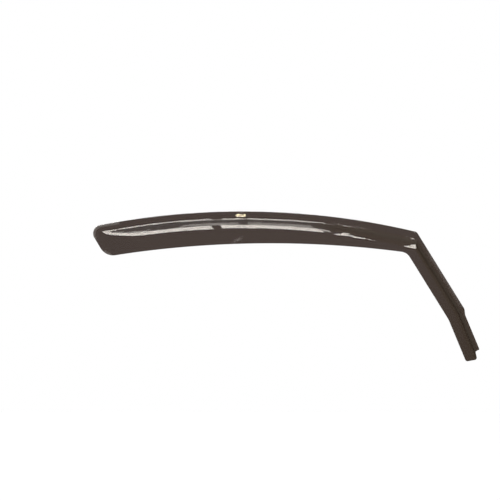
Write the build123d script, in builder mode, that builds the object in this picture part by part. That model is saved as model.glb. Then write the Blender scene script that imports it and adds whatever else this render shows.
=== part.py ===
from build123d import *
import os
from math import cos, radians, sin, sqrt, tan

# Window rain deflector for a right-hand front door: one pressed sheet of smoked acrylic.
# A flat flange slides into the window channel along the roof and down the front pillar.
# Inside the flange the sheet steps out to the panel that throws the rain clear of the gap.
# At the rear end the panel comes down to the flange again in a long, gentle slope.
# +X points to the front of the car, +Z up and -Y out of the door.
# The origin is on the seat face of the flange, at the crown of its upper edge.
# Lengths are in millimetres and angles in degrees.

# Sheet
sheet = 3.0  # thickness all over
rise = 10.0  # step from the flange's outer face to the panel's outer face
crease_radius = 5.0  # inside corner between the flange and the step
edge_round = 0.7  # rounding along the cut edge

# Roof run
roof_radius = 1277.0  # arc of the upper edge
roof_front = 297.4  # front corner, ahead of the crown
roof_rear = 264.0  # rear corner, behind the crown
roof_flange = 13.4  # upper edge to the crease
roof_slope = 45.0  # step, measured from the panel
roof_shoulder_radius = 20.0

# Free lower edge
lower_radius = 1735.0  # arc of the lower edge
lower_crown = 47.4  # its highest point, ahead of the roof's crown
lower_drop = 54.7  # its highest point, below the roof's crown

# Front pillar run
pillar_angle = 58.2  # upper half, below the horizontal
pillar_length = 155.0  # flange edge from the front corner to the bend
pillar_width = 33.8  # flange edge to inner edge
pillar_flange = 6.6  # flange edge to the crease
pillar_slope = 50.0  # step, measured from the panel
pillar_shoulder_radius = 10.0
tail_angle = 67.4  # lower half, below the horizontal
tail_length = 64.3  # flange edge below its step
tail_width = 30.5  # flange edge to inner edge
tail_bend_radius = 60.0  # step's face, between the halves
flange_step = 2.9  # how far the flange edge steps in at the bend
flange_step_run = 9.5  # length of that step

# Front tip: the panel's tongue runs on past the end of the flange
flange_tongue = 8.8  # width of the flange's end
tongue_set_in = 11.5  # flange edge line to the tongue's outer corner
tongue_outer = 12.8  # tongue's outer corner, past the flange's end
tongue_inner = 8.6  # tongue's inner corner, past the flange's end

# Rear end
rear_lean = 31.0  # cut edge, from the vertical
rear_crease = 240.5  # crease's corner, behind the crown
rear_crease_lean = 24.0  # crease, from the vertical
rear_slope = 13.5  # step, measured from the panel
rear_shoulder_radius = 175.0

# Corner radii of the outline
front_corner_radius = 7.0
bend_radius = 10.0
flange_end_radius = 2.0
notch_radius = 1.5
tongue_radius = 4.0
inner_bend_radius = 40.0
inner_corner_radius = 20.0
rear_lower_radius = 25.0
rear_upper_radius = 14.5

# Working stock, cut away again: it only has to pass the outline on every side
stock_margin = 60.0


def heading(below):
    """Front-view direction that points forwards and down."""
    return Vector(cos(radians(below)), -sin(radians(below)))


def left_of(direction):
    """Front-view direction a quarter turn to the left."""
    return Vector(-direction.Y, direction.X)


def meet(point, direction, other, other_direction):
    """Front-view point where two lines cross."""
    side = left_of(other_direction)
    return point + direction * ((other - point).dot(side) / direction.dot(side))


def meet_lower_edge(point, direction):
    """Front-view point where a line that runs down meets the arc of the lower edge."""
    to_point = point - Vector(lower_crown, -lower_drop - lower_radius)
    half = to_point.dot(direction)
    return point - direction * (half + sqrt(half**2 - to_point.length**2 + lower_radius**2))


def roof_point(x, inset=0.0):
    """Front-view point at x on the roof arc, or on an arc set in from it."""
    return Vector(x, sqrt((roof_radius - inset) ** 2 - x**2) - roof_radius)


# Outline, clockwise from the rear upper corner as seen from outside
rear_upper = roof_point(-roof_rear)
front_corner = roof_point(roof_front)
pillar_way = heading(pillar_angle)
tail_way = heading(tail_angle)
pillar_out = left_of(pillar_way)
tail_out = left_of(tail_way)
bend = front_corner + pillar_way * pillar_length
step_end = bend + tail_way * flange_step_run - tail_out * flange_step
flange_end = step_end + tail_way * tail_length
notch = flange_end - tail_out * flange_tongue
tongue_outer_corner = flange_end + tail_way * tongue_outer - tail_out * tongue_set_in
tongue_inner_corner = flange_end + tail_way * tongue_inner - tail_out * tail_width
pillar_inner = front_corner - pillar_out * pillar_width
inner_bend = meet(pillar_inner, pillar_way, tongue_inner_corner, tail_way)
inner_corner = meet_lower_edge(pillar_inner, pillar_way)
rear_lower = meet_lower_edge(rear_upper, heading(90 - rear_lean))
lower_middle = Vector(lower_crown, -lower_drop)

# Feet of the steps on the flange: each line runs clockwise too.
# Where the flange edge steps in at the bend, the crease runs on past it.
pillar_crease = front_corner - pillar_out * pillar_flange
tail_crease = flange_end - tail_out * (pillar_flange - flange_step)
rear_crease_corner = roof_point(-rear_crease, roof_flange)
rear_crease_way = -heading(90 - rear_crease_lean)


def stock(level):
    """Working block with its outer face at a level above the seat face."""
    with BuildPart() as block:
        with Locations((0, -level, stock_margin)):
            Box(
                2 * (flange_end.X + stock_margin),
                level + stock_margin,
                2 * stock_margin - tongue_inner_corner.Y,
                align=(Align.CENTER, Align.MIN, Align.MAX),
            )
    return block.part


def step_plane(depth, foot, way, slope):
    """Sloping face of a straight step, or the face that lies depth inside it."""
    out = left_of(way) * sin(radians(slope))
    normal = Vector(out.X, -cos(radians(slope)), out.Y)
    return Plane(Vector(foot.X, -sheet, foot.Y) - normal * depth, z_dir=normal)


def roof_step(depth, level):
    """Section point on the roof step's sloping face, or on the face that lies depth inside it."""
    set_in = depth / sin(radians(roof_slope)) + (level - sheet) / tan(radians(roof_slope))
    return (-level, -roof_flange - set_in)


def moulding(depth):
    """Block behind the pressed face, or behind the face that lies depth inside it."""
    flange = sheet - depth
    panel = flange + rise
    pillar = step_plane(depth, pillar_crease, pillar_way, pillar_slope)
    tail = step_plane(depth, tail_crease, tail_way, pillar_slope)
    rear = step_plane(depth, rear_crease_corner, rear_crease_way, rear_slope)
    with BuildPart() as block:

        def rim(kind):
            """Edges of the faces of one kind."""
            return block.faces().filter_by(kind).edges()

        def level_rim(place):
            """Edges of a level face: the panel's is the first from outside, then the flange's."""
            return block.faces().filter_by(Axis.Y).sort_by(Axis.Y)[place].edges()

        # The panel with sharp steps round it
        add(stock(panel))
        with BuildSketch(Plane.YZ):
            with BuildLine():
                Polyline(
                    (stock_margin, -roof_radius),
                    (-panel, -roof_radius),
                    roof_step(depth, panel),
                    roof_step(depth, -stock_margin),
                    close=True,
                )
            make_face()
        revolve(axis=Axis((0, 0, -roof_radius), (0, 1, 0)), mode=Mode.INTERSECT)
        for plane in (pillar, tail, rear):
            split(bisect_by=plane, keep=Keep.BOTTOM)

        # Each shoulder runs on round the corner where its step meets the roof's
        fillet(rim(pillar) & rim(tail), tail_bend_radius - depth)
        fillet(rim(rear) & level_rim(0), rear_shoulder_radius - depth)
        fillet(rim(GeomType.CONE) & level_rim(0), roof_shoulder_radius - depth)
        fillet(rim(pillar) & level_rim(0), pillar_shoulder_radius - depth)

        # The flange hides the feet of the steps, and one crease runs round them all
        add(stock(flange))
        fillet(rim(GeomType.CONE) & level_rim(1), crease_radius + depth)
    return block.part


corners = (
    (rear_upper, rear_upper_radius),
    (front_corner, front_corner_radius),
    (bend, bend_radius),
    (step_end, bend_radius),
    (flange_end, flange_end_radius),
    (notch, notch_radius),
    (tongue_outer_corner, tongue_radius),
    (tongue_inner_corner, tongue_radius),
    (inner_bend, inner_bend_radius),
    (inner_corner, inner_corner_radius),
    (rear_lower, rear_lower_radius),
)


def is_cut(face):
    """Whether a face is part of the cut edge, which stands square to the seat face."""
    return abs(face.normal_at(face.center()).Y) < sin(radians(1))


def runs_along(edge):
    """Whether an edge runs along the sheet and not through it."""
    return abs(edge.tangent_at(0.5).Y) < cos(radians(30))


with BuildPart() as deflector:
    add(moulding(0))
    add(moulding(sheet), mode=Mode.SUBTRACT)
    with BuildSketch(Plane.XZ) as outline:
        with BuildLine():
            ThreePointArc(rear_upper, (0, 0), front_corner)
            Polyline(
                front_corner,
                bend,
                step_end,
                flange_end,
                notch,
                tongue_outer_corner,
                tongue_inner_corner,
                inner_bend,
                inner_corner,
            )
            ThreePointArc(inner_corner, lower_middle, rear_lower)
            Line(rear_lower, rear_upper)
        make_face()
        for corner, radius in corners:
            fillet(outline.vertices().sort_by_distance(corner)[0], radius)
    extrude(amount=stock_margin, both=True, mode=Mode.INTERSECT)
    fillet(deflector.faces().filter_by(is_cut).edges().filter_by(runs_along), edge_round)
deflector.part.label = "deflector"

os.makedirs("parts", exist_ok=True)
export_step(deflector.part, "parts/deflector.step")
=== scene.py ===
# %% [markdown]
# # A window rain deflector in smoked acrylic
# The deflector is one pressed sheet. A flat flange slides into the window channel of the door, and
# inside the flange the sheet steps out to a panel that throws the rain clear of the open window.
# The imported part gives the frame: metres, +X to the front of the car, +Z up and -Y out of the door.
# Everything below is built in that frame, so nothing has to be fitted by hand.

# %% Load the frame
from math import cos, pi, radians, sin, tan

import bpy
import numpy as np
from mathutils import Matrix, Vector


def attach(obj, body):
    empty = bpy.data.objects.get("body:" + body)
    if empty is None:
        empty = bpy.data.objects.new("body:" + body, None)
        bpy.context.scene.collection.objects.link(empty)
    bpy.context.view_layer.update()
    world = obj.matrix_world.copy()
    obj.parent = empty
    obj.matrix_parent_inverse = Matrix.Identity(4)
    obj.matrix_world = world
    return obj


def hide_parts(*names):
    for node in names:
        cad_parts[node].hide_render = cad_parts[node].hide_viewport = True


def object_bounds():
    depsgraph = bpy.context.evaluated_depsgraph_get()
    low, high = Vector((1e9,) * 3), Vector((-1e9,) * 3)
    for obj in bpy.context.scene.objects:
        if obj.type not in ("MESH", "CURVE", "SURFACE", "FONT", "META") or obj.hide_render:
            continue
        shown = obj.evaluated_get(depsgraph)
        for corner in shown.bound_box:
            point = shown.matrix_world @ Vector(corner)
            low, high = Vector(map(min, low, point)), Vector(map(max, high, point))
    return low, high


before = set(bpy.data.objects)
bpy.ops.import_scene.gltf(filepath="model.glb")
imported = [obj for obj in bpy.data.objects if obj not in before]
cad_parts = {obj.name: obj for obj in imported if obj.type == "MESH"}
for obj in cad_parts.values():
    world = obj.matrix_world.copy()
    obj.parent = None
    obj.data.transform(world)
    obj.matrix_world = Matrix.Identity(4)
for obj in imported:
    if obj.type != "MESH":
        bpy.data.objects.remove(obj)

cad_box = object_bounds()
mm = 0.001
print("packed box, mm:", [[round(c / mm, 1) for c in corner] for corner in cad_box])

# %% [markdown]
# ## The camera
# The picture is taken square on to the panel, from far enough away that the sheet shows next to no
# perspective. So the camera stands straight out of the door. Its lens follows from two sizes: the
# width of the view at the sheet, and the distance.

# %% Camera
view_width = 855 * mm
view_distance = 2.2
view_centre = Vector((12.5 * mm, 0, -66 * mm))
sensor_width = 36.0

camera_data = bpy.data.cameras.new("camera")
camera_data.sensor_width = sensor_width
camera_data.lens = sensor_width * view_distance / view_width
camera = bpy.data.objects.new("camera", camera_data)
camera.location = view_centre - Vector((0, view_distance, 0))
camera.rotation_euler = (radians(90), 0, 0)
bpy.context.scene.collection.objects.link(camera)
bpy.context.scene.camera = camera
print("camera lens, mm:", round(camera_data.lens, 1))

# %% [markdown]
# ## The outline
# Seen from outside, the sheet lies between two long edges. The flange edge follows the roof and
# turns down the front pillar. The free edge runs below it and turns with it. Every side of the
# outline is a straight line or a large arc, and every corner is rounded, so a side needs only one
# rule: how far a point lies inside it. The centre of a corner's round is then the point that lies
# one radius inside both of its sides, or one radius outside both in a hollow corner. Complex
# numbers hold front-view points: the real part is X and the imaginary part is Z.

# %% Sizes of the outline
roof_radius = 1277 * mm
roof_front = 297.4 * mm
roof_rear = 264 * mm
lower_radius = 1735 * mm
lower_crown = 47.4 * mm
lower_drop = 54.7 * mm
pillar_angle = radians(58.2)
pillar_length = 155 * mm
pillar_width = 33.8 * mm
tail_angle = radians(67.4)
tail_length = 64.3 * mm
tail_width = 30.5 * mm
flange_step = 2.9 * mm
flange_step_run = 9.5 * mm
flange_tongue = 8.8 * mm
tongue_set_in = 11.5 * mm
tongue_outer = 12.8 * mm
tongue_inner = 8.6 * mm
rear_lean = radians(31)
rear_upper_radius = 14.5 * mm
rear_lower_radius = 25 * mm
front_corner_radius = 7 * mm
bend_radius = 10 * mm
flange_end_radius = 2 * mm
notch_radius = 1.5 * mm
tongue_radius = 4 * mm
inner_bend_radius = 40 * mm
inner_corner_radius = 20 * mm
edge_round = 0.7 * mm


# %% Sides of the outline
def heading(below):
    """Front-view direction that points forwards and down."""
    return np.exp(-1j * below)


def line_side(start, end):
    """A straight side, set in by the edge's round, with the sheet on its right."""
    way = (end - start) / abs(end - start)
    return {"start": start - 1j * way * edge_round, "way": way}


def arc_side(centre, radius, inside):
    """An arc, set in by the edge's round: inside is 1 with the sheet in the circle, -1 outside it."""
    return {"centre": centre, "radius": radius - inside * edge_round, "inside": inside}


def depth_in(side, point):
    """How far a point lies inside a side: to the right of a line, or in from a circle."""
    if "way" in side:
        return -((point - side["start"]) * np.conj(side["way"])).imag
    return side["inside"] * (side["radius"] - abs(point - side["centre"]))


def foot_on(side, point):
    """The point of a side that is nearest to a point."""
    if "way" in side:
        return point + 1j * side["way"] * depth_in(side, point)
    spoke = point - side["centre"]
    return side["centre"] + spoke / abs(spoke) * side["radius"]


# %% Corners and sides, clockwise as seen from outside
def roof_point(x):
    """The point of the roof edge at x: a circle about a centre straight below the crown."""
    return x + 1j * (np.sqrt(roof_radius**2 - x**2) - roof_radius)


roof_centre = -1j * roof_radius
lower_centre = lower_crown - 1j * (lower_drop + lower_radius)
pillar_way = heading(pillar_angle)
tail_way = heading(tail_angle)
rear_upper = roof_point(-roof_rear)
front_corner = roof_point(roof_front)
bend = front_corner + pillar_way * pillar_length
step_end = bend + tail_way * (flange_step_run - 1j * flange_step)
flange_end = step_end + tail_way * tail_length
notch = flange_end - 1j * tail_way * flange_tongue
tongue_front = flange_end + tail_way * (tongue_outer - 1j * tongue_set_in)
tongue_back = flange_end + tail_way * (tongue_inner - 1j * tail_width)
pillar_inner = front_corner - 1j * pillar_way * pillar_width

rear_side = line_side(rear_upper + heading(pi / 2 - rear_lean), rear_upper)
roof_side = arc_side(roof_centre, roof_radius, 1)
pillar_side = line_side(front_corner, bend)
step_side = line_side(bend, step_end)
tail_side = line_side(step_end, flange_end)
flange_end_side = line_side(flange_end, notch)
notch_side = line_side(notch, tongue_front)
tongue_side = line_side(tongue_front, tongue_back)
tail_inner_side = line_side(tongue_back, tongue_back - tail_way)
pillar_inner_side = line_side(pillar_inner, pillar_inner - pillar_way)
lower_side = arc_side(lower_centre, lower_radius, -1)
print("flange edge from the front corner to the bend, mm:", round(abs(bend - front_corner) / mm, 1))


# %% Rounded corners
def corner_round(near, before, after, radius, count):
    """Points round a corner, from one side to the next: an arc about the point that lies one radius
    inside both sides. Newton's steps find that point. A negative radius rounds a hollow corner."""
    radius = radius - edge_round
    centre = near
    probe = 0.001 * mm
    newton_steps = 20
    for _ in range(newton_steps):
        miss = [depth_in(side, centre) - radius for side in (before, after)]
        slopes = [
            [(depth_in(side, centre + probe * axis) - depth_in(side, centre)) / probe for axis in (1, 1j)]
            for side in (before, after)
        ]
        across, up = np.linalg.solve(slopes, miss)
        centre = centre - across - 1j * up
    start = foot_on(before, centre) - centre
    turn = np.angle((foot_on(after, centre) - centre) / start)
    return centre + start * np.exp(1j * turn * np.linspace(0, 1, count))


def run_between(side, start, end, count):
    """Points along a side between two of its points, without those two."""
    share = np.linspace(0, 1, count + 2)[1:-1]
    if "way" in side:
        return start + (end - start) * share
    turn = np.angle((end - side["centre"]) / (start - side["centre"]))
    return side["centre"] + (start - side["centre"]) * np.exp(1j * turn * share)


# %% [markdown]
# ## Two edges with the same number of points
# The mesh will run in ribs straight across the sheet, from the flange edge to the free edge. So both
# edges get the same number of points, and what lies opposite gets the same share of them: corner
# against corner and run against run. The flange ends before the tongue does, and while the flange
# edge turns round that end, the free edge hardly moves on.

# %% Points of both edges
rear_count, roof_count, corner_count, pillar_count = 24, 250, 14, 76
bend_count, tail_count, end_count, tongue_count = 6, 34, 6, 10
fan_start, fan_end = 14 * mm, 10 * mm

rear_upper_round = corner_round(rear_upper, rear_side, roof_side, rear_upper_radius, rear_count)
front_round = corner_round(front_corner, roof_side, pillar_side, front_corner_radius, corner_count)
bend_round = corner_round(bend, pillar_side, step_side, bend_radius, bend_count)
step_round = corner_round(step_end, step_side, tail_side, -bend_radius, bend_count)
flange_end_round = corner_round(flange_end, tail_side, flange_end_side, flange_end_radius, end_count)
notch_round = corner_round(notch, flange_end_side, notch_side, -notch_radius, end_count)
tongue_front_round = corner_round(tongue_front, notch_side, tongue_side, tongue_radius, corner_count)
flange_edge = np.concatenate([
    rear_upper_round,
    run_between(roof_side, rear_upper_round[-1], front_round[0], roof_count),
    front_round,
    run_between(pillar_side, front_round[-1], bend_round[0], pillar_count),
    bend_round,
    run_between(step_side, bend_round[-1], step_round[0], bend_count),
    step_round,
    run_between(tail_side, step_round[-1], flange_end_round[0], tail_count),
    flange_end_round,
    run_between(flange_end_side, flange_end_round[-1], notch_round[0], end_count),
    notch_round,
    run_between(notch_side, notch_round[-1], tongue_front_round[0], tongue_count),
    tongue_front_round,
])

tongue_back_round = corner_round(tongue_back, tongue_side, tail_inner_side, tongue_radius, corner_count)
inner_bend_round = corner_round(pillar_inner + pillar_way * pillar_length, tail_inner_side,
                                pillar_inner_side, -inner_bend_radius, 3 * bend_count)
inner_round = corner_round(pillar_inner, pillar_inner_side, lower_side, -inner_corner_radius, corner_count)
rear_lower_round = corner_round(rear_upper, lower_side, rear_side, rear_lower_radius, rear_count)
fan_first = foot_on(tail_inner_side, flange_end - tail_way * fan_start)
fan_last = foot_on(tail_inner_side, flange_end - tail_way * fan_end)
free_edge = np.concatenate([
    rear_lower_round[::-1],
    run_between(lower_side, rear_lower_round[0], inner_round[-1], roof_count),
    inner_round[::-1],
    run_between(pillar_inner_side, inner_round[0], inner_bend_round[-1], pillar_count),
    inner_bend_round[::-1],
    run_between(tail_inner_side, inner_bend_round[0], fan_first, tail_count),
    np.linspace(fan_first, fan_last, 3 * end_count),
    run_between(tail_inner_side, fan_last, tongue_back_round[-1], tongue_count),
    tongue_back_round[::-1],
])
print("points on each edge:", len(flange_edge), len(free_edge))

# %% [markdown]
# ## The pressed step
# Across the sheet the press has made the same kind of S everywhere: a hollow crease at the flange, a
# slope, and a round shoulder at the panel. The roof, the pillar and the rear end have a slope and a
# shoulder of their own. Along each of them the height depends on two things only: the distance from
# the foot of the step, and how far the panel stands out there. The inner face is the same S a sheet's
# thickness further in, so its hollow is wider and its shoulder tighter by that much.
#
# At the rear end the panel itself comes down to the flange in a long, flat slope. So the rear step
# tells the roof step how far to rise, and the roof step runs out to a point like a leaf. In front the
# roof step meets the pillar step at a mitre, and there the sheet is as low as the lower of them says.

# %% Sizes of the step
sheet = 3 * mm
rise = 10 * mm
crease_radius = 5 * mm
roof_flange = 13.4 * mm
roof_slope = radians(45)
roof_shoulder = 20 * mm
pillar_flange = 6.6 * mm
pillar_slope = radians(50)
pillar_shoulder = 10 * mm
rear_crease = 240.5 * mm
rear_crease_lean = radians(24)
rear_slope = radians(13.5)
rear_shoulder = 175 * mm
mitre_power = 8
bend_blend = 1 * mm


# %% Height of the sheet
def pressed_step(inwards, depth, slope, shoulder, full):
    """Height of a step above its flange at a distance inwards from its foot: a hollow arc, a straight
    slope and a shoulder arc, tangent to each other. full is the height that it reaches, and where that
    is too low for the slope, the arcs meet before they are as steep. depth is how far the face lies
    under the outer one."""
    hollow = crease_radius + depth
    crown = shoulder - depth
    both = hollow + crown
    steepest = np.arccos(np.maximum(np.cos(slope), 1 - full / both))
    straight = np.maximum(full - both * (1 - np.cos(steepest)), 0)
    from_crease = inwards + crease_radius * tan(slope / 2)
    from_panel = both * np.sin(steepest) + straight / tan(slope) - from_crease
    hollow_run, crown_run = hollow * np.sin(steepest), crown * np.sin(steepest)
    rising = hollow - np.sqrt(hollow**2 - np.clip(from_crease, 0, hollow_run) ** 2)
    settling = np.sqrt(crown**2 - np.clip(from_panel, 0, crown_run) ** 2) + full - crown
    sloping = hollow * (1 - np.cos(steepest)) + (from_crease - hollow_run) * tan(slope)
    return np.select([from_crease < hollow_run, from_panel < crown_run], [rising, settling], sloping)


def soft_minimum(a, b, blend):
    """The smaller of two distances, with a parabola in place of the kink where they are alike."""
    overlap = np.maximum(blend - abs(a - b), 0) / blend
    return np.minimum(a, b) - blend * overlap**2 / 4


rear_corner = roof_centre + (roof_radius - roof_flange) * np.exp(
    1j * (pi / 2 + np.arcsin(rear_crease / (roof_radius - roof_flange)))
)
rear_crease_side = line_side(rear_corner + heading(pi / 2 - rear_crease_lean), rear_corner)


def sheet_level(point, depth):
    """Height above the seat face of the face that lies depth under the outer one. What the roof step
    and the front step lack of the full rise is added up as a power mean, which is close to the larger
    of the two and leaves the mitre barely rounded."""
    in_from_roof = depth_in(roof_side, point) + edge_round - roof_flange
    in_from_pillar = depth_in(pillar_side, point) + edge_round - pillar_flange
    in_from_tail = depth_in(tail_side, point) + edge_round + flange_step - pillar_flange
    in_from_front = soft_minimum(in_from_pillar, in_from_tail, bend_blend)
    in_from_rear = depth_in(rear_crease_side, point) + edge_round
    panel = pressed_step(in_from_rear, depth, rear_slope, rear_shoulder, rise)
    from_roof = pressed_step(in_from_roof, depth, roof_slope, roof_shoulder, panel)
    from_front = pressed_step(in_from_front, depth, pillar_slope, pillar_shoulder, rise)
    lacking = sum((1 - step / rise) ** mitre_power for step in (from_roof, from_front))
    return sheet - depth + rise * (1 - np.minimum(lacking ** (1 / mitre_power), 1))


print("panel above the seat face, mm:", round(float(sheet_level(-50j * mm, 0)) / mm, 2))

# %% [markdown]
# ## The sheet as one closed mesh
# The plan of the sheet is a grid of two parameters: along the edges, and across from the flange edge
# to the free edge. Each grid point is lifted to the outer face and to the inner face. A rim with a
# rounded section joins the two grids all the way round, so the sheet is closed and its cut edge
# catches the light as a sanded edge does.
#
# Along each rib the points crowd where the sheet slopes or bends: a trial run over the rib adds up
# how much happens between its ends, and the points are then dealt out evenly over that sum. The sum is
# averaged over a few neighbouring ribs, so that the rows of points turn gently at the mitre. They
# follow the crease and the shoulder by themselves. Dark polished plastic is all reflections, and they
# show every facet. So the mesh also gets its normals from the formula and not from its faces.

# %% Grid of the sheet
trial_count, across_count = 600, 92
slope_weight, bend_weight = 1.5, 15 * mm
neighbours = 10

trial = np.linspace(0, 1, trial_count)
trial_plan = flange_edge[:, None] * (1 - trial) + free_edge[:, None] * trial
trial_pitch = abs(free_edge - flange_edge)[:, None] / (trial_count - 1)
trial_slope = np.gradient(sheet_level(trial_plan, 0), axis=1) / trial_pitch
trial_bend = np.gradient(trial_slope, axis=1) / trial_pitch
crowding = np.sqrt(1 + (slope_weight * trial_slope) ** 2 + (bend_weight * trial_bend) ** 2)
steps_so_far = np.cumsum(crowding[:, 1:] + crowding[:, :-1], axis=1)
steps_so_far = np.pad(steps_so_far / steps_so_far[:, -1:], ((0, 0), (1, 0)))
steps_so_far = np.pad(steps_so_far, ((neighbours, neighbours), (0, 0)), mode="edge")
nearby = np.lib.stride_tricks.sliding_window_view(steps_so_far, 2 * neighbours + 1, axis=0)
even = np.linspace(0, 1, across_count)
across = np.stack([np.interp(even, rib, trial) for rib in nearby.mean(axis=-1)])
plan = flange_edge[:, None] * (1 - across) + free_edge[:, None] * across
outer_level = sheet_level(plan, 0)
inner_level = sheet_level(plan, sheet)
grid = np.arange(plan.size).reshape(plan.shape)
rim_loop = np.concatenate([grid[:-1, 0], grid[-1, :-1], grid[:0:-1, -1], grid[0, :0:-1]])
print("grid of the sheet:", plan.shape, "points round the rim:", len(rim_loop))


# %% Normals of the sheet
def outer_normal(point, depth):
    """Direction that points straight out of the face at depth: minus the slope of its level along X
    and Z, and one step out of the door."""
    probe = 0.01 * mm
    along_x = (sheet_level(point + probe, depth) - sheet_level(point - probe, depth)) / (2 * probe)
    along_z = (sheet_level(point + 1j * probe, depth) - sheet_level(point - 1j * probe, depth)) / (2 * probe)
    normal = np.stack([-along_x, -np.ones(point.shape), -along_z], axis=-1)
    return normal / np.linalg.norm(normal, axis=-1, keepdims=True)


outer_normals = outer_normal(plan.ravel(), 0)
inner_normals = -outer_normal(plan.ravel(), sheet)
steepest = np.degrees(np.arccos(-outer_normals[:, 1]).max())
print("steepest slope of the outer face, degrees:", round(float(steepest), 1))


# %% Rim of the sheet
quarter_steps = 5


def rounded_rim(edge, top, bottom, top_normal, bottom_normal):
    """Rows of points round the cut edge: a quarter circle out from the top face, then one back in to
    the bottom face. Returns front-view points, levels and normals, one row for each step."""
    ahead = np.roll(edge, -1) - np.roll(edge, 1)
    outwards = 1j * ahead / abs(ahead)
    turn = np.radians(np.linspace(0, 90, quarter_steps + 1))[1:, None]
    out = edge_round * np.sin(turn)
    down = edge_round * (1 - np.cos(turn))
    places = np.concatenate([edge + outwards * out, (edge + outwards * out)[::-1]])
    levels = np.concatenate([top - down, (bottom + down)[::-1]])
    level_out = np.stack([outwards.real, np.zeros(len(edge)), outwards.imag], axis=-1)
    turned = [
        level_out * np.sin(turn)[..., None] + normal * np.cos(turn)[..., None]
        for normal in (top_normal, bottom_normal)
    ]
    return places, levels, np.concatenate([turned[0], turned[1][::-1]])


rim_plan, rim_level, rim_normals = rounded_rim(
    plan.ravel()[rim_loop], outer_level.ravel()[rim_loop], inner_level.ravel()[rim_loop],
    outer_normals[rim_loop], inner_normals[rim_loop]
)


# %% Deflector
def quads(rows, closed=False):
    """Corner numbers of the faces between neighbouring rows of a grid of point numbers."""
    ahead = np.roll(rows, -1, axis=1) if closed else rows[:, 1:]
    here = rows if closed else rows[:, :-1]
    return np.stack([here[:-1], ahead[:-1], ahead[1:], here[1:]], axis=-1).reshape(-1, 4)


def sheet_mesh(name, places, levels, normals, faces):
    """A mesh from front-view points, their levels above the seat face, their normals and face corners."""
    mesh = bpy.data.meshes.new(name)
    points = np.stack([places.real, -levels, places.imag], axis=-1)
    mesh.vertices.add(len(points))
    mesh.vertices.foreach_set("co", points.ravel())
    mesh.loops.add(faces.size)
    mesh.loops.foreach_set("vertex_index", faces.ravel())
    mesh.polygons.add(len(faces))
    mesh.polygons.foreach_set("loop_start", np.arange(0, faces.size, 4))
    mesh.polygons.foreach_set("use_smooth", np.ones(len(faces), bool))
    mesh.update(calc_edges=True)
    mesh.validate()
    mesh.normals_split_custom_set_from_vertices(normals)
    return mesh


rim_rows = np.arange(rim_plan.size).reshape(rim_plan.shape) + 2 * plan.size
rim_grid = np.concatenate([rim_loop[None], rim_rows, rim_loop[None] + plan.size])
faces = np.concatenate([quads(grid), quads(grid + plan.size)[:, ::-1], quads(rim_grid, closed=True)])
places = np.concatenate([plan.ravel(), plan.ravel(), rim_plan.ravel()])
levels = np.concatenate([outer_level.ravel(), inner_level.ravel(), rim_level.ravel()])
normals = np.concatenate([outer_normals, inner_normals, rim_normals.reshape(-1, 3)])
deflector_mesh = sheet_mesh("smoked_deflector", places, levels, normals, faces)
deflector = bpy.data.objects.new("smoked_deflector", deflector_mesh)
bpy.context.scene.collection.objects.link(deflector)
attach(deflector, "root")
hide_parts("deflector")
print("deflector:", len(deflector.data.vertices), "points,", len(deflector.data.polygons), "faces")

# %% [markdown]
# ## Wear
# Sliding the flange into the channel has rubbed its edge dull along the pillar, and handling has
# rubbed the corners of the rear end and left a thumb's smear low on the panel. A point attribute of
# the mesh holds how dull each place is. It fades like a bell curve with the distance from the rubbed
# edge, or from the middle of the smear. Only the outer face is worn.

# %% Rubbed edges
rub_width = 5 * mm
pillar_rub_start = 20 * mm, 55 * mm
pillar_rub_end = 146 * mm, 156 * mm
roof_rub_count = 14
lower_rub = slice(8, 16)
smear_middle = (-8 - 48.5j) * mm
smear_turn = radians(25)
smear_length, smear_width = 10 * mm, 2.8 * mm
smear_strength = 0.95


def ease(value, low, high):
    """0 below low, 1 above high and a smooth step between them."""
    share = np.clip((value - low) / (high - low), 0, 1)
    return share**2 * (3 - 2 * share)


def rubbed(point):
    """How dull the sheet is at a front-view point, from 0 to 1."""
    down_pillar = ((point - front_corner) * np.conj(pillar_way)).real
    pillar_part = ease(down_pillar, *pillar_rub_start) * (1 - ease(down_pillar, *pillar_rub_end))
    pillar_rub = pillar_part * np.exp(-(((depth_in(pillar_side, point) + edge_round) / rub_width) ** 2))
    rear_arc = np.concatenate([flange_edge[:rear_count + roof_rub_count], rear_lower_round[lower_rub]])
    from_arc = abs(point[:, None] - rear_arc).min(axis=1) + edge_round
    rear_rub = np.exp(-((from_arc / rub_width) ** 2))
    in_smear = (point - smear_middle) * np.exp(-1j * smear_turn)
    from_middle = (in_smear.real / smear_length) ** 2 + (in_smear.imag / smear_width) ** 2
    return np.maximum.reduce([pillar_rub, rear_rub, smear_strength * np.exp(-from_middle)])


outer_wear = rubbed(plan.ravel())
wear = deflector_mesh.attributes.new("rubbed", "FLOAT", "POINT")
wear.data.foreach_set("value", np.pad(outer_wear, (0, len(places) - plan.size)))
print("rubbed points:", int((outer_wear > 0.1).sum()), "of", plan.size)

# %% [markdown]
# ## Smoked acrylic
# The sheet is clear acrylic with a dark brown dye right through it. A glass shader with acrylic's
# index of refraction gives the polished faces, and absorption inside gives the colour, so the slope
# of the step, where light has further to go, comes out darker by itself. Wear only changes the
# roughness: a thin film from handling lies in patches, fine hairlines run along the sheet, and the
# rubbed edges are satin.

# %% Node helpers
def add_node(tree, kind, **settings):
    """A new node, with its settings and the values of its input sockets."""
    node = tree.nodes.new(kind)
    for name, value in settings.items():
        if name in node.inputs:
            node.inputs[name].default_value = value
        else:
            setattr(node, name, value)
    return node


def choose(tree, switch, off, on):
    """An output that blends from one value or output to another as a switch goes from 0 to 1."""
    blend = add_node(tree, "ShaderNodeMix")
    tree.links.new(switch, blend.inputs[0])
    for socket, source in ((blend.inputs[2], off), (blend.inputs[3], on)):
        if isinstance(source, (int, float)):
            socket.default_value = source
        else:
            tree.links.new(source, socket)
    return blend.outputs[0]


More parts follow.
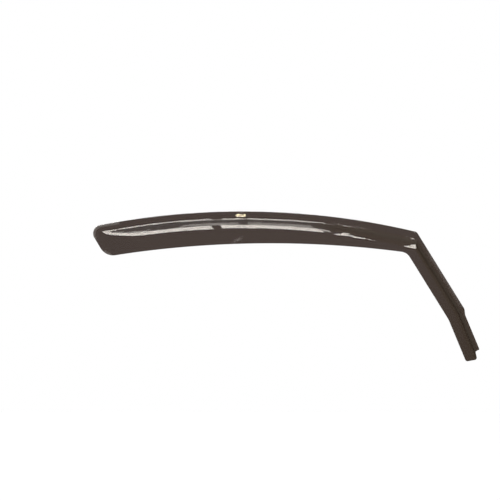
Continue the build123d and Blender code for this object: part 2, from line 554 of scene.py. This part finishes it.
def noise_range(tree, stretch, detail, low, high):
    """An output that is 0 where a stretched noise is below low and 1 where it is above high. stretch is
    the number of its patches in a metre along X, Y and Z."""
    place = add_node(tree, "ShaderNodeTexCoord")
    stretched = add_node(tree, "ShaderNodeMapping", Scale=stretch)
    noise = add_node(tree, "ShaderNodeTexNoise", Scale=1.0, Detail=detail, Roughness=0.6)
    span = add_node(tree, "ShaderNodeMapRange")
    span.inputs["From Min"].default_value = low
    span.inputs["From Max"].default_value = high
    tree.links.new(place.outputs["Object"], stretched.inputs["Vector"])
    tree.links.new(stretched.outputs["Vector"], noise.inputs["Vector"])
    tree.links.new(noise.outputs["Fac"], span.inputs["Value"])
    return span.outputs["Result"]


# %% Smoked acrylic
acrylic_index = 1.49
smoke_colour = (0.20, 0.09, 0.027, 1)
smoke_density = 1250
polished, filmed, scratched, satin = 0.006, 0.02, 0.05, 0.47


def smoked_acrylic():
    """Dyed clear sheet: a glass shader whose roughness has the wear, and absorption inside."""
    material = bpy.data.materials.new("smoked_acrylic")
    material.use_nodes = True
    tree = material.node_tree
    shader = tree.nodes["Principled BSDF"]
    shader.inputs["Base Color"].default_value = (1, 1, 1, 1)
    shader.inputs["IOR"].default_value = acrylic_index
    shader.inputs["Transmission Weight"].default_value = 1
    film = noise_range(tree, stretch=(28, 28, 28), detail=5, low=0.42, high=0.72)
    hairlines = noise_range(tree, stretch=(16, 16, 900), detail=2, low=0.70, high=0.78)
    edges = add_node(tree, "ShaderNodeAttribute", attribute_name="rubbed")
    roughness = choose(tree, film, polished, filmed)
    roughness = choose(tree, hairlines, roughness, scratched)
    roughness = choose(tree, edges.outputs["Fac"], roughness, satin)
    tree.links.new(roughness, shader.inputs["Roughness"])
    smoke = add_node(tree, "ShaderNodeVolumeAbsorption", Color=smoke_colour, Density=smoke_density)
    tree.links.new(smoke.outputs["Volume"], tree.nodes["Material Output"].inputs["Volume"])
    return material


deflector_mesh.materials.append(smoked_acrylic())
print("material:", deflector_mesh.materials[0].name)

# %% [markdown]
# ## Floor and backdrop
# The picture's background is plain white. The world is white for the camera and for rays that pass
# through the sheet. In reflections it is a room: white like the backdrop behind the deflector, a quiet
# grey round the camera, and warmer and darker towards the front of the car. As soft light it has a
# strength of 1 from all sides, which shows a matte colour just as it is written. The floor lies well
# below the deflector, which hangs in its channel and doesn't stand on anything. It is pale, and the
# shadow that the soft light leaves on it is too faint to see.

# %% Floor and world
floor_drop = 0.2
floor_size = 1.8
soft_light = 1
floor_grey, floor_glow, floor_roughness = 0.8, 0.2, 0.9
room_middle = 0.77
room_towards = (0, 0.22, 0.13)
front_colours = (
    (0.125, (1, 1, 1, 1)),
    (0.185, (0.76, 0.71, 0.58, 1)),
    (0.45, (0.92, 0.86, 0.72, 1)),
    (0.70, (0.92, 0.86, 0.72, 1)),
    (0.84, (0.44, 0.40, 0.32, 1)),
)


def ray_is(tree, *kinds):
    """An output that is 1 for rays of any of these kinds and 0 for all others."""
    rays = add_node(tree, "ShaderNodeLightPath")
    found = rays.outputs[kinds[0]]
    for kind in kinds[1:]:
        either = add_node(tree, "ShaderNodeMath", operation="MAXIMUM")
        tree.links.new(found, either.inputs[0])
        tree.links.new(rays.outputs[kind], either.inputs[1])
        found = either.outputs["Value"]
    return found


def white_world():
    """White behind the sheet, a room in its reflections and even white as soft light."""
    world = bpy.data.worlds.new("studio")
    world.use_nodes = True
    tree = world.node_tree
    way = add_node(tree, "ShaderNodeTexCoord")
    towards = add_node(tree, "ShaderNodeVectorMath", operation="DOT_PRODUCT")
    towards.inputs[1].default_value = room_towards
    room = add_node(tree, "ShaderNodeMath", operation="ADD")
    room.inputs[1].default_value = room_middle
    tree.links.new(way.outputs["Generated"], towards.inputs[0])
    tree.links.new(towards.outputs["Value"], room.inputs[0])
    mirrored = choose(tree, ray_is(tree, "Is Glossy Ray"), soft_light, room.outputs["Value"])
    strength = choose(tree, ray_is(tree, "Is Camera Ray", "Is Transmission Ray"), mirrored, 1)
    tree.links.new(strength, tree.nodes["Background"].inputs["Strength"])

    forwards = add_node(tree, "ShaderNodeSeparateXYZ")
    tree.links.new(way.outputs["Generated"], forwards.inputs["Vector"])
    front = add_node(tree, "ShaderNodeValToRGB")
    stops = front.color_ramp.elements
    for place, _ in front_colours[1:-1]:
        stops.new(place)
    for stop, (place, colour) in zip(stops, front_colours):
        stop.position, stop.color = place, colour
    mirrored_x = choose(tree, ray_is(tree, "Is Glossy Ray"), 0, forwards.outputs["X"])
    tree.links.new(mirrored_x, front.inputs["Fac"])
    tree.links.new(front.outputs["Color"], tree.nodes["Background"].inputs["Color"])
    return world


def pale_floor(level):
    """A pale floor: for the eye part of its white is its own, so that it meets the backdrop unseen."""
    corners = floor_size / 2 * np.array([[-1, -1, 0], [1, -1, 0], [1, 1, 0], [-1, 1, 0]])
    mesh = bpy.data.meshes.new("floor")
    mesh.from_pydata((corners + [0, 0, level]).tolist(), [], [(0, 1, 2, 3)])
    material = bpy.data.materials.new("pale_floor")
    material.use_nodes = True
    tree = material.node_tree
    shader = tree.nodes["Principled BSDF"]
    shader.inputs["Base Color"].default_value = (floor_grey, floor_grey, floor_grey, 1)
    shader.inputs["Roughness"].default_value = floor_roughness
    shader.inputs["Emission Color"].default_value = (1, 1, 1, 1)
    seen = ray_is(tree, "Is Camera Ray", "Is Glossy Ray", "Is Transmission Ray")
    tree.links.new(choose(tree, seen, 0, floor_glow), shader.inputs["Emission Strength"])
    mesh.materials.append(material)
    floor = bpy.data.objects.new("floor", mesh)
    bpy.context.scene.collection.objects.link(floor)
    return floor


bpy.context.scene.world = white_world()
floor = pale_floor(cad_box[0][2] - floor_drop)
bpy.context.scene.view_settings.view_transform = "Standard"
print("floor at, mm:", round((cad_box[0][2] - floor_drop) / mm))

# %% [markdown]
# ## Lights
# What the eye sees on dark polished plastic is its lights. A bank of soft boxes hangs above the
# camera, all in one slanting plane. The round shoulder shows the bright ones as a long band with a
# gap, and the hollow crease shows them again as a fine line. Weaker ones hang above them and give the
# grey stripe beside the band. A small warm lamp just over the camera is the yellow spot on the flat
# flange. As brightness 1 looks white and the polished sheet mirrors only a twenty-fifth of it, the
# soft boxes have to be far brighter than white, like real ones.

# %% Lamps
bank_tilt = radians(62)
bank_distance = 1.6
warm_white, candle = (1, 0.95, 0.88), (1, 0.87, 0.58)
bright, dim, weak = 14, 6.5, 3.8
spot_place = (-18.5 * mm, -view_distance, 51.6 * mm)
spot_size = (32 * mm, 8.5 * mm)


def area_lamp(name, centre, turn, size, radiance, colour):
    """A flat lamp. Its power follows from its area and its brightness, where 1 looks white. Only
    reflections see it, so matte colours keep the level of the soft light."""
    data = bpy.data.lights.new(name, "AREA")
    data.shape = "RECTANGLE"
    data.size, data.size_y = size
    data.energy = radiance * pi * size[0] * size[1]
    data.color = colour
    lamp = bpy.data.objects.new(name, data)
    lamp.location = centre
    lamp.rotation_euler = turn
    lamp.visible_diffuse = False
    bpy.context.scene.collection.objects.link(lamp)


def bank_box(name, left, right, low, high, radiance, lean=0):
    """A soft box of the bank between two places along X and two heights in degrees above the camera's
    line of sight, as seen from the sheet. lean turns it in the plane of the bank."""
    bottom, top = (bank_distance * tan(radians(angle) - bank_tilt) for angle in (low, high))
    up = (bottom + top) / 2
    depth = bank_distance * cos(bank_tilt) - up * sin(bank_tilt)
    height = bank_distance * sin(bank_tilt) + up * cos(bank_tilt)
    turn = Matrix.Rotation(pi / 2 - bank_tilt, 3, "X") @ Matrix.Rotation(lean, 3, "Z")
    centre = ((left + right) / 2, -depth, height)
    size = (right - left, top - bottom)
    area_lamp(name, centre, turn.to_euler(), size, radiance, warm_white)


bank_box("soft_box_end", -1.50, -0.46, 14, 49, bright, lean=radians(0.7))
bank_box("soft_box_rear", -0.458, -0.146, 12, 47, bright, lean=radians(0.7))
bank_box("soft_box_front", -0.106, 0.343, 17, 50, bright, lean=radians(0.6))
bank_box("soft_box_fade", 0.343, 0.385, 30, 50, dim)
bank_box("soft_box_slit", 0.418, 0.450, 9, 41, bright, lean=radians(-2.8))
bank_box("soft_box_low", 0.440, 0.530, 8.5, 22, bright, lean=radians(5.4))
bank_box("soft_box_corner", 0.751, 0.96, 13, 51, bright, lean=radians(-4.4))
bank_box("overhead_end", -1.3, -0.47, 50, 66, weak)
bank_box("overhead_rear", -0.316, -0.030, 51, 78, weak)
bank_box("overhead_front", 0.015, 0.338, 51, 78, weak)
area_lamp("warm_lamp", spot_place, (pi / 2, 0, 0), spot_size, 2 * bright, candle)
print("lamps:", len(bpy.data.lights))
